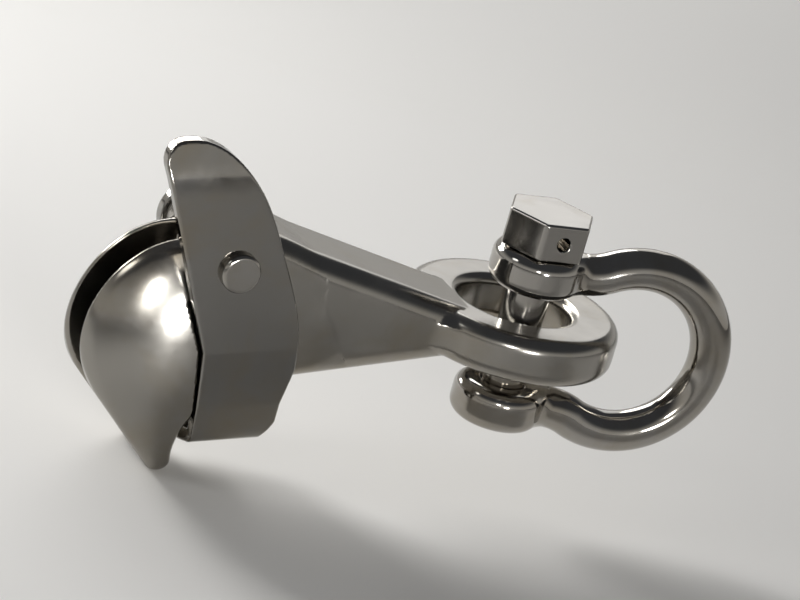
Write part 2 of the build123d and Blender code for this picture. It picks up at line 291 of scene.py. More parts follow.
def curve_path(points, first_slope, last_slope, steps=24):
    """Short runs along the cubic through the points that bends steadily and has the given end directions."""
    points = np.array(points, float)
    spans = np.linalg.norm(np.diff(points, axis=0), axis=1)
    count = len(points)
    matrix, wanted = np.eye(count), np.zeros((count, 2))
    wanted[0], wanted[-1] = first_slope, last_slope
    for i in range(1, count - 1):
        h0, h1 = spans[i - 1], spans[i]
        matrix[i, i - 1], matrix[i, i], matrix[i, i + 1] = h1, 2 * (h0 + h1), h0
        wanted[i] = 3 * (h1 * (points[i] - points[i - 1]) / h0 + h0 * (points[i + 1] - points[i]) / h1)
    slopes = np.linalg.solve(matrix, wanted)
    t = np.linspace(0, 1, steps + 1)[:, None]
    run = [points[:1]]
    for i, h in enumerate(spans):
        a, b = points[i], points[i + 1]
        near, far = slopes[i] * h, slopes[i + 1] * h
        cubic = a * (2 * t**3 - 3 * t**2 + 1) + near * (t**3 - 2 * t**2 + t)
        cubic = cubic + b * (3 * t**2 - 2 * t**3) + far * (t**3 - t**2)
        run.append(cubic[1:])
    run = np.concatenate(run)
    return [("line", tuple(p), tuple(q)) for p, q in zip(run, run[1:])]


def on_circle(centre, radius, angle):
    """A point of a circle, its angle in degrees from the first axis."""
    return (centre[0] + radius * cos(radians(angle)), centre[1] + radius * sin(radians(angle)))


# Surface of a field


def slope(field, points, step):
    """Gradient of a field at points, from the difference across a small step along each axis."""
    columns = []
    for axis in range(3):
        shift = np.zeros(3)
        shift[axis] = step
        ahead, behind = points + shift, points - shift
        columns.append((field(*ahead.T) - field(*behind.T)) / (2 * step))
    return np.stack(columns, 1)


def field_surface(field, low, high, pitch):
    """Points, faces and normals of the surface where a field is zero.

    The field is worked out on a grid. Each cell that the surface crosses gets one point, at the mean of
    the crossings on its edges, and the four cells about a crossed edge make one face. The points are then
    moved along the field's slope until the field is zero, half a cell at most at a time, and the slope
    there is their normal.
    """
    axes = [np.arange(a - 1.5 * pitch, b + 2.5 * pitch, pitch) for a, b in zip(low, high)]
    value = field(*np.meshgrid(*axes, indexing="ij", sparse=True))
    inside = value < 0
    offsets = np.array([(i, j, k) for i in (0, 1) for j in (0, 1) for k in (0, 1)])
    cells = tuple(n - 1 for n in value.shape)
    count = sum(inside[i:i + cells[0], j:j + cells[1], k:k + cells[2]].astype(np.int8) for i, j, k in offsets)
    crossed = (count > 0) & (count < 8)
    where = np.argwhere(crossed)
    number = np.full(cells, -1)
    number[crossed] = np.arange(len(where))
    corner = where[:, None, :] + offsets[None]
    corner_value = value[corner[..., 0], corner[..., 1], corner[..., 2]]
    total = np.zeros((len(where), 3))
    crossings = np.zeros((len(where), 1))
    for a in range(8):
        for b in range(a + 1, 8):
            if np.abs(offsets[a] - offsets[b]).sum() != 1:
                continue
            va, vb = corner_value[:, a], corner_value[:, b]
            cut = (va < 0) != (vb < 0)
            share = np.where(cut, va / np.where(cut, va - vb, 1), 0)[:, None]
            total += np.where(cut[:, None], offsets[a] + share * (offsets[b] - offsets[a]), 0)
            crossings += cut[:, None]
    start = np.array([axis[0] for axis in axes])
    points = start + (where + total / crossings) * pitch
    faces = []
    for axis in range(3):
        one, two = (axis + 1) % 3, (axis + 2) % 3
        front = [slice(1, n) for n in cells]
        front[axis] = slice(0, cells[axis])
        back = list(front)
        back[axis] = slice(1, cells[axis] + 1)
        here, there = inside[tuple(front)], inside[tuple(back)]
        at = np.argwhere(here != there) + [0 if i == axis else 1 for i in range(3)]
        quad = []
        for step_one, step_two in ((-1, -1), (0, -1), (0, 0), (-1, 0)):
            cell = at.copy()
            cell[:, one] += step_one
            cell[:, two] += step_two
            quad.append(number[cell[:, 0], cell[:, 1], cell[:, 2]])
        quad = np.stack(quad, 1)
        leaving = inside[at[:, 0], at[:, 1], at[:, 2]]
        faces.append(np.where(leaving[:, None], quad, quad[:, ::-1]))
    for _ in range(SETTLING):
        gradient = slope(field, points, NEAR)
        size = np.maximum((gradient**2).sum(1, keepdims=True), 1e-3)
        move = -field(*points.T)[:, None] * gradient / size
        reach = np.linalg.norm(move, axis=1, keepdims=True)
        points = points + move * np.minimum(1, 0.5 * pitch / np.maximum(reach, 1e-9))
    normals = slope(field, points, NEAR)
    normals = normals / np.linalg.norm(normals, axis=1, keepdims=True)
    return points, np.concatenate(faces).tolist(), normals


# Turned surfaces


def turned_profile(path, steps):
    """Points along lines and arcs, two to a line, steps to an arc, each with the direction to its right."""
    points, sides = [], []
    for kind, *values in path:
        if kind == "line":
            start, end = np.array(values[0]), np.array(values[1])
            along = (end - start) / np.linalg.norm(end - start)
            points += [start, end]
            sides += [(along[1], -along[0])] * 2
        else:
            centre, radius, begin, sweep = values
            angles = np.radians(begin + sweep * np.linspace(0, 1, steps + 1))
            ring = np.stack([np.cos(angles), np.sin(angles)], 1)
            points += list(np.array(centre) + radius * ring)
            sides += list(ring * (1 if sweep > 0 else -1))
    return np.array(points), np.array(sides)


def turned_surface(path, closed, turns=96, steps=8):
    """Surface of a profile turned about an axis: radius and height at every angle of a full turn.

    The profile runs with the material on its left, radius first and height second. Doubled points
    are left out where their directions agree. A profile that isn't closed starts and ends on the axis.
    """
    points, sides = turned_profile(path, steps)
    keep = np.ones(len(points), bool)
    keep[1:] = np.abs(np.diff(points, axis=0)).max(1) > 1e-6
    keep[1:] |= np.abs(np.diff(sides, axis=0)).max(1) > 1e-3
    points, sides = points[keep], sides[keep]
    rings = slice(None) if closed else slice(1, -1)
    ends, end_sides = points[[0, -1]], sides[[0, -1]]
    points, sides = points[rings], sides[rings]
    angle = np.arange(turns) * 2 * pi / turns
    c, s = np.cos(angle)[:, None], np.sin(angle)[:, None]
    shape = (turns, len(points))
    position = np.stack([c * points[:, 0], s * points[:, 0], np.broadcast_to(points[:, 1], shape)], 2)
    normal = np.stack([c * sides[:, 0], s * sides[:, 0], np.broadcast_to(sides[:, 1], shape)], 2)
    position, normal = position.reshape(-1, 3), normal.reshape(-1, 3)
    number = np.arange(turns * len(points)).reshape(shape)
    after = np.roll(number, -1, axis=0)
    if closed:
        faces = np.stack([number, after, np.roll(after, -1, axis=1), np.roll(number, -1, axis=1)], 2)
        return position, faces.reshape(-1, 4).tolist(), normal
    faces = np.stack([number[:, :-1], after[:, :-1], after[:, 1:], number[:, 1:]], 2).reshape(-1, 4).tolist()
    pole = np.full(turns, number.size)
    faces += np.stack([pole, after[:, 0], number[:, 0]], 1).tolist()
    faces += np.stack([pole + 1, number[:, -1], after[:, -1]], 1).tolist()
    position = np.concatenate([position, np.insert(ends, 1, 0, axis=1)])
    return position, faces, np.concatenate([normal, np.insert(end_sides, 1, 0, axis=1)])


def about_pivot(points):
    """Turns the height of a turned surface to the latch pivot's axis, heights to the rear."""
    return np.stack([points[:, 0], points[:, 2], -points[:, 1]], 1)


# Pieces


def new_piece(name, points, faces, normals, material, slot, body, node):
    """Makes an object from points in millimetres, faces and normals, and sets it in the frame."""
    mesh = bpy.data.meshes.new(name)
    mesh.from_pydata((points * MM).tolist(), [], faces)
    mesh.polygons.foreach_set("use_smooth", np.ones(len(mesh.polygons), bool))
    mesh.normals_split_custom_set_from_vertices(normals.tolist())
    mesh.update()
    piece = bpy.data.objects.new(name, mesh)
    bpy.context.scene.collection.objects.link(piece)
    piece.data.materials.append(material)
    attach(piece, body)
    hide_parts(node)


def outline_path():
    """Side view of shank, crest, head, tip and throat as lines and arcs, the hook on the left."""
    throat = on_circle((0, 0), SEAT_REACH, SEAT_ANGLE)
    tip_angle = 180 + degrees(asin(TIP_DROP / (THROAT_RADIUS + TIP_RADIUS)))
    tip = on_circle(throat, THROAT_RADIUS + TIP_RADIUS, tip_angle)
    end_x = EYE[0] - EYE_HOLE - EYE_HOLE_ROUNDING
    low, high = (end_x, EYE[1] - EYE_HALF), (end_x, EYE[1] + EYE_HALF)
    gap_x, gap_z = HEAD[0] - tip[0], HEAD[1] - tip[1]
    narrowing = asin((HEAD_RADIUS - TIP_RADIUS) / hypot(gap_x, gap_z))
    taper = degrees(atan2(gap_z, gap_x) + narrowing) + 90
    low_x, low_z = low[0] - throat[0], low[1] - throat[1]
    throat_end = degrees(atan2(low_z, low_x) + acos(THROAT_RADIUS / hypot(low_x, low_z)))
    head_top = on_circle(HEAD, HEAD_RADIUS, 90)
    back = np.array(SHANK_JOINT) - np.array(high)
    back = back / np.linalg.norm(back)
    return throat, [
        ("line", low, high),
        ("line", high, SHANK_JOINT),
        *curve_path([SHANK_JOINT, CREST, head_top], back, (-1, 0)),
        ("arc", HEAD, HEAD_RADIUS, 90, taper - 90),
        ("line", on_circle(HEAD, HEAD_RADIUS, taper), on_circle(tip, TIP_RADIUS, taper)),
        ("arc", tip, TIP_RADIUS, taper, tip_angle + 180 - taper),
        ("arc", throat, THROAT_RADIUS, tip_angle, throat_end - tip_angle),
        ("line", on_circle(throat, THROAT_RADIUS, throat_end), low),
    ]


def strap_bends():
    """Corners of half of the strap's middle line, in Y and w, from the crease to the floor."""
    return [(STRAP_MIDDLE - inward, w) for inward, w in STRAP_BENDS]


def latch_axes(x, z, opening):
    """Side-view coordinates in the latch's own axes, u along its bend lines and w up through the pivot."""
    c, s = cos(radians(LATCH_LEAN + opening)), sin(radians(LATCH_LEAN + opening))
    return (x - PIVOT[0]) * c + (z - PIVOT[1]) * s, (z - PIVOT[1]) * c - (x - PIVOT[0]) * s


def kept_inside_latch(y, w):
    """What the relief for the latch leaves of the hook: the strap's inside, less a gap, and the two flats."""
    bends = strap_bends()
    inside = PLATE / 2 + RELIEF_INSIDE
    kept = np.abs(y) - CORE_HALF
    for (y0, w0), (y1, w1) in zip(bends, bends[1:]):
        lean = atan2(y0 - y1, w0 - w1)
        kept = np.maximum(kept, (np.abs(y) - y0) * cos(lean) - (w - w0) * sin(lean) + inside)
    return np.maximum(kept, bends[-1][1] - w + inside)


def crown_distance(x, wide, z):
    """Distance to the crowned sides of the prongs.

    A point is on the crown where the squares of its offsets from the dome's middle, each over the dome's
    reach that way, add up to one. What they exceed one by, over its slope, is the distance.
    """
    along, up = x - DOME[0], z - DOME[1]
    reaches = (np.where(along < 0, *DOME_REACH[0]), DOME_HALF, np.where(up < 0, *DOME_REACH[1]))
    shares = [offset / reach for offset, reach in zip((along, wide, up), reaches)]
    total = sum(share**2 for share in shares)
    steep = sum((2 * share / reach) ** 2 for share, reach in zip(shares, reaches))
    return (total - 1) / np.sqrt(np.maximum(steep, 1e-4))


def casting_surface(pitch):
    """Surface of the cast hook.

    The side view at an even half width, its edges rounded, gives the core, and inside the crown it gives the
    prongs. A boss about the pivot is joined on, and what the strap sweeps as it opens is taken out at each
    step. The ring lies between two radii and two heights. The slot and the pivot's bore are taken out last.
    """
    throat, path = outline_path()

    def field(x, y, z):
        side = path_distance(x, z, path)
        wide = np.abs(y)
        core = trim(trim(side, wide - CORE_HALF, CORE_ROUNDING), CORE_START - x, HIDDEN_EDGE)
        prongs = trim(trim(side, crown_distance(x, wide, z), DOME_ROUNDING), x - PRONG_END, HIDDEN_EDGE)
        from_pivot = np.hypot(x - PIVOT[0], z - PIVOT[1])
        boss = np.maximum(from_pivot - BOSS_RADIUS, wide - BOSS_HALF)
        body = join(np.minimum(core, prongs), boss, BOSS_FILLET)
        lean, left = radians(LATCH_LEFT_LEAN), LATCH_LEFT - RELIEF_GAP
        for step in range(RELIEF_STEPS + 1):
            share = step / RELIEF_STEPS
            u, w = latch_axes(x, z, LATCH_OPEN * share)
            area = np.minimum(left - u, -(u - left) * cos(lean) - (w - CREASE) * sin(lean))
            area = np.maximum(area, u - LATCH_RIGHT - RELIEF_GAP - RELIEF_OVERRUN * (1 - share))
            body = trim(body, join(-area, kept_inside_latch(y, w), RELIEF_EDGE), RELIEF_EDGE)
        reach = np.hypot(x - EYE[0], y)
        depth = np.abs(z - EYE[1])
        ring = trim(reach - EYE_OUTER, depth - EYE_HALF, EYE_RIM_ROUNDING)
        ring = trim(ring, EYE_HOLE - reach, EYE_HOLE_ROUNDING)
        body = join(body, ring, EYE_FILLET * np.clip((EYE_HALF - depth) / EYE_FILLET_FADE, 0, 1))
        slot = join(x - SLOT_ROOT, trim(z - SLOT_ROOF, x - throat[0], SLOT_CORNER), SLOT_CORNER)
        body = trim(body, join(-slot, SLOT_HALF - wide, SLOT_EDGE), SLOT_EDGE)
        return trim(body, PIVOT_PIN + PRESSED - from_pivot, BORE_EDGE)

    return field_surface(field, *CASTING_BOX, pitch)


def latch_surface(pitch):
    """Surface of the bent plate.

    It is a band, half the plate's thickness to each side of the section's middle line, inside the outline of
    the front cheek before the casting's middle and of the rear cheek behind it, and bored for the pivot.
    """
    rear_bends = strap_bends()
    front_bends = [(-y, w) for y, w in rear_bends]
    over_top = TAB_TOP[1] + PLATE
    curl = (over_top - TAB_CURL_START) * tan(radians(TAB_CURL))
    points = [(curl - STRAP_MIDDLE, over_top), (-STRAP_MIDDLE, TAB_CURL_START), *front_bends,
              *rear_bends[::-1], (STRAP_MIDDLE, REAR_EYE + PLATE)]
    section = rounded_path(points, [TAB_CURL_RADIUS] + [BEND_RADIUS] * 8)
    top_left = LATCH_LEFT - (TAB_TOP[1] - CREASE) * tan(radians(LATCH_LEFT_LEAN))
    left_end, right_end = (LATCH_LEFT, CREASE), (LATCH_RIGHT, CREASE)
    lower = rounded_path([(LATCH_LEFT, STRAP_FLOOR), *STRAP_HEEL, right_end], [SHARP] + [BEND_RADIUS] * 4)
    back = curve_path([right_end, *TAB_BACK, TAB_TOP], (0, 1), (-1, 0))
    nose = [TAB_TOP, (top_left, TAB_TOP[1]), left_end, (LATCH_LEFT, STRAP_FLOOR)]
    nose = rounded_path(nose, [TAB_CORNER, SHARP])
    front = [*lower, *back, *nose]
    # the rear cheek narrows from the crease to a round eye about the pivot
    right = degrees(atan2(CREASE, LATCH_RIGHT) + acos(REAR_EYE / hypot(*right_end)))
    left = degrees(atan2(CREASE, LATCH_LEFT) - acos(REAR_EYE / hypot(*left_end))) % 360
    rear = [*lower, ("line", right_end, on_circle((0, 0), REAR_EYE, right)),
            ("arc", (0, 0), REAR_EYE, right, left - right),
            ("line", on_circle((0, 0), REAR_EYE, left), left_end),
            ("line", left_end, (LATCH_LEFT, STRAP_FLOOR))]

    def field(u, y, w):
        band = np.abs(path_distance(y, w, section)) - PLATE / 2
        outline = np.where(y < 0, path_distance(u, w, front), path_distance(u, w, rear))
        plate = trim(band, outline, PLATE_EDGE)
        return trim(plate, PIVOT_PIN + TURNING - np.hypot(u, w), BORE_EDGE)

    points, faces, normals = field_surface(field, *LATCH_BOX, pitch)
    return turned(points, LATCH_LEAN), faces, turned(normals, LATCH_LEAN, (0, 0))


def turned(points, angle, place=PIVOT):
    """Turns u, Y, w points about the Y axis and sets them at a side-view place."""
    c, s = cos(radians(angle)), sin(radians(angle))
    u, y, w = points.T
    return np.stack([u * c - w * s + place[0], y, u * s + w * c + place[1]], 1)


def bow_path():
    """Middle line of the bar, ear to ear, through two reverse bends and the round bow."""
    arm = EAR_MIDDLE
    run = BOW_CENTRE - ARM_ROOT
    bend = (run**2 + arm**2 - BOW_RADIUS**2) / (2 * (BOW_RADIUS - arm))
    sweep = degrees(atan2(run, arm + bend))
    return [
        ("line", (0, arm), (ARM_ROOT, arm)),
        ("arc", (ARM_ROOT, arm + bend), bend, 270, sweep),
        ("arc", (BOW_CENTRE, 0), BOW_RADIUS, 90 + sweep, -180 - 2 * sweep),
        ("arc", (ARM_ROOT, -arm - bend), bend, 90 - sweep, sweep),
        ("line", (ARM_ROOT, -arm), (0, -arm)),
    ]


def bow_surface(pitch):
    """Surface of the bow.

    It is all within the bar's radius of its middle line, joined to two rounded ears about the pin's axis,
    which are cut flat at the jaw and at their outer ends and bored for the pin.
    """
    path = bow_path()

    def field(r, t, z):
        bar = np.hypot(path_distance(r, z, path), t) - BAR_RADIUS
        reach, height = np.hypot(r, t), np.abs(z)
        ear = trim(reach - EAR_RADIUS, np.abs(height - EAR_MIDDLE) - EAR_THICKNESS / 2, EAR_ROUNDING)
        body = join(bar, ear, EAR_FILLET)
        flats = np.maximum(height - EAR_TOP, JAW_HALF - height)
        body = trim(body, np.minimum(flats, EAR_RADIUS + EAR_FLAT - reach), EAR_EDGE)
        return trim(body, SHACKLE_PIN + EAR_BORE_GAP - reach, EAR_BORE_EDGE)

    points, faces, normals = field_surface(field, *BOW_BOX, pitch)
    return at_shackle(points, SHACKLE_SWING), faces, at_shackle(normals, SHACKLE_SWING, (0, 0, 0))


def pin_surface(pitch):
    """Surface of the headed pin.

    The shaft is all within its radius of the axis. The head is what three pairs of flats and its two ends
    share, its edges softened, less a cross hole for wire.
    """

    def field(x, y, z):
        shaft = trim(np.hypot(x, y) - SHACKLE_PIN, -EAR_TOP - z, PIN_FOOT_EDGE)
        shaft = np.maximum(shaft, z - EAR_TOP - SHAFT_IN_HEAD)
        up = z - EAR_TOP - HEX_HEIGHT / 2
        head = np.abs(y) - HEX_HALF
        for angle in (30, -30):
            flat = np.abs(x * cos(radians(angle)) + y * sin(radians(angle))) - HEX_HALF
            head = trim(head, flat, HEX_EDGE)
        head = trim(head, np.abs(up) - HEX_HEIGHT / 2, HEX_END_EDGE)
        return trim(np.minimum(shaft, head), WIRE_HOLE - np.hypot(x, up), WIRE_HOLE_EDGE)

    points, faces, normals = field_surface(field, *PIN_BOX, pitch)
    return at_shackle(points, 0), faces, normals


def at_shackle(points, swing, place=PIN_AXIS):
    """Turns points about the shackle pin's axis and sets them at its place in the eye."""
    c, s = cos(radians(swing)), sin(radians(swing))
    x, y, z = points.T
    return np.stack([x * c - y * s + place[0], x * s + y * c + place[1], z + place[2]], 1)


def pivot_pin_path():
    """Half section of the pivot pin, radius first and Y second: head, shaft and peened tail."""
    wide, height = PIVOT_HEAD
    head, tail = -STRAP_OUTSIDE - height, STRAP_OUTSIDE + COLLAR[1] + PIVOT_TAIL
    points = [(0, head), (wide, head), (wide, -STRAP_OUTSIDE), (PIVOT_PIN, -STRAP_OUTSIDE), (PIVOT_PIN, tail),
              (0, tail)]
    return rounded_path(points, PIVOT_RADII)


def collar_path(inner, outer, low, high, rounding):
    """Half section of a plain ring between two heights, its outer corners rounded."""
    points = [(inner, (low + high) / 2), (inner, low), (outer, low), (outer, high), (inner, high)]
    return rounded_path([*points, points[0]], [RING_BORE_EDGE, rounding, rounding, RING_BORE_EDGE])


def pivot_surface(path, closed):
    """Surface of a half section turned about the latch pivot's axis."""
    points, faces, normals = turned_surface(path, closed)
    return about_pivot(points) + np.array([PIVOT[0], 0, PIVOT[1]]), faces, about_pivot(normals)


# Materials


def add_node(tree, kind, inputs, **settings):
    """Adds a node with its settings, and sets each named or numbered input to a value or links it."""
    made = tree.nodes.new(kind)
    for name, value in settings.items():
        setattr(made, name, value)
    for name, value in inputs.items():
        if isinstance(value, bpy.types.NodeSocket):
            tree.links.new(value, made.inputs[name])
        else:
            made.inputs[name].default_value = value
    return made


def blank_material(name):
    """A material with an empty node tree and its output."""
    material = bpy.data.materials.new(name)
    material.use_nodes = True
    material.node_tree.nodes.clear()
    return material, material.node_tree, material.node_tree.nodes.new("ShaderNodeOutputMaterial")


def per_mm(size):
    """Scale of a noise whose patches are a size in millimetres across."""
    return 1 / (size * MM)


def polished_steel(name, colour, stain, rough, wave, wave_height, grain, grain_height):
    """Polished stainless steel.

    Gives the eye clear reflections that swim a little over low waves left by the polishing wheel, faint
    lines of the last grit, patches where handling has dulled the shine, and a weak brown tint of tea stain.
    The grit's lines are really far finer, and are drawn about a millimetre wide so that they show.
    """
    material, tree, output = blank_material(name)
    place = add_node(tree, "ShaderNodeTexCoord", {}).outputs["Object"]
    low = add_node(tree, "ShaderNodeTexNoise", {"Vector": place, "Scale": per_mm(wave), "Detail": 1.0})
    waves = add_node(tree, "ShaderNodeBump", {
        "Height": low.outputs["Fac"], "Distance": wave_height * MM, "Strength": 1.0})
    along = add_node(tree, "ShaderNodeMapping", {"Vector": place, "Scale": [per_mm(size) for size in grain]})
    lines = add_node(tree, "ShaderNodeTexNoise", {
        "Vector": along.outputs["Vector"], "Scale": 1.0, "Detail": 3.0, "Roughness": 0.7})
    bump = add_node(tree, "ShaderNodeBump", {
        "Height": lines.outputs["Fac"], "Distance": grain_height * MM, "Normal": waves.outputs["Normal"],
        "Strength": 1.0})
    dull = add_node(tree, "ShaderNodeTexNoise", {
        "Vector": place, "Scale": per_mm(DULL_PATCH), "Detail": 4.0, "Roughness": 0.6})
    shine = add_node(tree, "ShaderNodeMapRange", {
        "Value": dull.outputs["Fac"], "From Min": 0.35, "From Max": 0.75, "To Min": rough[0],
        "To Max": rough[1]})
    patches = add_node(tree, "ShaderNodeTexNoise", {
        "Vector": place, "Scale": per_mm(STAIN_PATCH), "Detail": 5.0, "Roughness": 0.65, "Distortion": 0.4})
    share = add_node(tree, "ShaderNodeMapRange", {
        "Value": patches.outputs["Fac"], "From Min": 0.45, "From Max": 0.8, "To Min": 0.0, "To Max": 1.0})
    tint = add_node(tree, "ShaderNodeMix", {
        MIX_SHARE: share.outputs["Result"], MIX_FIRST: colour, MIX_SECOND: stain}, data_type="RGBA")
    shader = add_node(tree, "ShaderNodeBsdfPrincipled", {
        "Base Color": tint.outputs[MIX_RESULT], "Metallic": 1.0, "Roughness": shine.outputs["Result"],
        "Normal": bump.outputs["Normal"]})
    tree.links.new(shader.outputs["BSDF"], output.inputs["Surface"])
    return material


def acetal_sheet(name, colour):
    """White acetal, cut from sheet: a milky, waxy white with a soft sheen and faint saw marks."""
    material, tree, output = blank_material(name)
    place = add_node(tree, "ShaderNodeTexCoord", {}).outputs["Object"]
    marks = add_node(tree, "ShaderNodeTexNoise", {"Vector": place, "Scale": per_mm(SAW_MARK), "Detail": 2.0})
    bump = add_node(tree, "ShaderNodeBump", {
        "Height": marks.outputs["Fac"], "Distance": 0.02 * MM, "Strength": 1.0})
    shine = add_node(tree, "ShaderNodeMapRange", {
        "Value": marks.outputs["Fac"], "To Min": 0.35, "To Max": 0.55})
    shader = add_node(tree, "ShaderNodeBsdfPrincipled", {
        "Base Color": colour, "IOR": 1.48, "Roughness": shine.outputs["Result"],
        "Normal": bump.outputs["Normal"]})
    tree.links.new(shader.outputs["BSDF"], output.inputs["Surface"])
    return material


def matt_floor(name, colour):
    """Matt painted board: a plain pale floor with no shine."""
    material, tree, output = blank_material(name)
    shader = add_node(tree, "ShaderNodeBsdfPrincipled", {"Base Color": colour, "Roughness": 0.9,
                                                         "Specular IOR Level": 0.2})
    tree.links.new(shader.outputs["BSDF"], output.inputs["Surface"])
    return material


# Stage


def view_from(azimuth, elevation):
    """Direction from the hook to a lamp or camera; azimuth 0 is in front, 90 at the eye's end."""
    a, e = radians(azimuth), radians(elevation)
    return Vector((sin(a) * cos(e), -cos(a) * cos(e), sin(e)))


def photo_camera():
    """Camera at the photograph's place and roll, aimed at the hook, with a longer lens to fill the frame."""
    middle = Vector(FRAME) / 2
    back = view_from(VIEW_AZIMUTH, VIEW_ELEVATION)
    level = Vector((cos(radians(VIEW_AZIMUTH)), sin(radians(VIEW_AZIMUTH)), 0))
    roll = Matrix.Rotation(radians(VIEW_ROLL), 3, back)
    right, up = roll @ level, roll @ back.cross(level)
    distance = FOCUS / SCALE_AT_EYE * MM

    def to_side(pixel):
        """Sideways and upward part of the direction to a pixel, for one part forwards."""
        off = (Vector(pixel) - middle) / FOCUS
        return right * off.x - up * off.y

    place = Vector((EYE[0] * MM, 0, EYE[1] * MM)) + (back - to_side(EYE_IN_PHOTO)) * distance
    back = (back - to_side(HOOK_IN_PHOTO)).normalized()
    right = (right - back * right.dot(back)).normalized()
    data = bpy.data.cameras.new("photo_camera")
    data.sensor_width = SENSOR
    data.lens = FOCUS / FRAME[0] * SENSOR * ZOOM
    data.clip_start = 0.01
    camera = bpy.data.objects.new("photo_camera", data)
    bpy.context.scene.collection.objects.link(camera)
    camera.matrix_world = Matrix((right, back.cross(right), back)).transposed().to_4x4()
    camera.matrix_world.translation = place
    bpy.context.scene.camera = camera


def soft_lamp(name, target, azimuth, elevation, distance, size, beam, watts, level):
    """A soft lamp that faces its target, round where it is small."""
    data = bpy.data.lights.new(name, "AREA")
    data.shape = "RECTANGLE" if size[0] > ROUND_LAMP else "ELLIPSE"
    data.size, data.size_y = size
    data.spread = radians(beam)
    data.energy = watts * level
    lamp = bpy.data.objects.new(name, data)
    bpy.context.scene.collection.objects.link(lamp)
    away = view_from(azimuth, elevation)
    lamp.location = Vector(target) + away * distance
    lamp.rotation_euler = away.to_track_quat("Z", "Y").to_euler()
    lamp.visible_camera = False


# Settings, operators and panel


class ChainHookFinish(bpy.types.PropertyGroup):
    """Colours and meshes of the chain hook's pieces."""

    casting_colour: bpy.props.FloatVectorProperty(
        name="Casting", description="Colour of the mirror-polished casting", subtype="COLOR", size=4,
        min=0, max=1, default=linear("#98958f"))
    plate_colour: bpy.props.FloatVectorProperty(
        name="Plate", description="Colour of the polished latch plate", subtype="COLOR", size=4,
        min=0, max=1, default=linear("#8e8c88"))
    bar_colour: bpy.props.FloatVectorProperty(
        name="Bar", description="Colour of the polished shackle bar and pins", subtype="COLOR", size=4,
        min=0, max=1, default=linear("#a09d98"))
    stain_colour: bpy.props.FloatVectorProperty(
        name="Tea stain", description="Tint of the faint stain on the steel", subtype="COLOR", size=4,
        min=0, max=1, default=linear("#8f8675"))
    washer_colour: bpy.props.FloatVectorProperty(
        name="Washers", description="Colour of the acetal washers", subtype="COLOR", size=4,
        min=0, max=1, default=linear("#e6e3da"))
    casting_cell: bpy.props.FloatProperty(
        name="Casting cell", description="Cell of the casting's mesh", subtype="DISTANCE", unit="LENGTH",
        min=0.0003, max=0.003, default=0.65 * MM)
    plate_cell: bpy.props.FloatProperty(
        name="Plate cell", description="Cell of the latch's mesh", subtype="DISTANCE", unit="LENGTH",
        min=0.0003, max=0.003, default=0.42 * MM)
    bar_cell: bpy.props.FloatProperty(
        name="Bar cell", description="Cell of the shackle's meshes", subtype="DISTANCE", unit="LENGTH",
        min=0.0003, max=0.003, default=0.45 * MM)


class ChainHookStage(bpy.types.PropertyGroup):
    """Floor and lamps of the studio."""

    floor_colour: bpy.props.FloatVectorProperty(
        name="Floor", description="Colour of the floor", subtype="COLOR", size=4,
        min=0, max=1, default=linear("#e6e4e0"))
    floor_size: bpy.props.FloatProperty(
        name="Floor size", description="Side of the floor", subtype="DISTANCE", unit="LENGTH", min=0.5,
        default=6.0)
    lamp_level: bpy.props.FloatProperty(
        name="Lamp level", description="Factor on the power of all lamps", subtype="FACTOR", min=0,
        default=1.0)
    wall_colour: bpy.props.FloatVectorProperty(
        name="Walls", description="Colour of the light from the room's sides", subtype="COLOR", size=4,
        min=0, max=1, default=linear("#c4c2be"))
    ceiling_colour: bpy.props.FloatVectorProperty(
        name="Ceiling", description="Colour of the light from above", subtype="COLOR", size=4,
        min=0, max=1, default=linear("#4c4e52"))


class CHAINHOOK_OT_casting(bpy.types.Operator):
    """Makes the cast hook"""

    bl_idname = "chainhook.casting"
    bl_label = "Cast hook"

    def execute(self, context):
        finish = context.scene.chain_hook_finish
        # polished by hand after casting: rolling reflections, softer than the bar's, lines along the shank
        steel = polished_steel(
            "mirror-polished 316 steel casting", finish.casting_colour, finish.stain_colour, (0.16, 0.26),
            wave=7.0, wave_height=0.05, grain=(11.1, 1.11, 1.11), grain_height=0.0025)
        surface = casting_surface(finish.casting_cell / MM)
        new_piece("cast_hook", *surface, steel, "cast_steel", "hook", "hook_body")
        return {"FINISHED"}


class CHAINHOOK_OT_latch(bpy.types.Operator):
    """Makes the bent latch strap"""

    bl_idname = "chainhook.latch"
    bl_label = "Latch strap"

    def execute(self, context):
        finish = context.scene.chain_hook_finish
        # rolled flat, bent, then polished: nearly still reflections, with lines up and down the cheeks
        steel = polished_steel(
            "polished 316 steel plate", finish.plate_colour, finish.stain_colour, (0.08, 0.16),
            wave=14.0, wave_height=0.04, grain=(0.833, 0.833, 12.5), grain_height=0.003)
        surface = latch_surface(finish.plate_cell / MM)
        new_piece("bent_latch", *surface, steel, "plate_steel", "latch", "latch_strap")
        return {"FINISHED"}


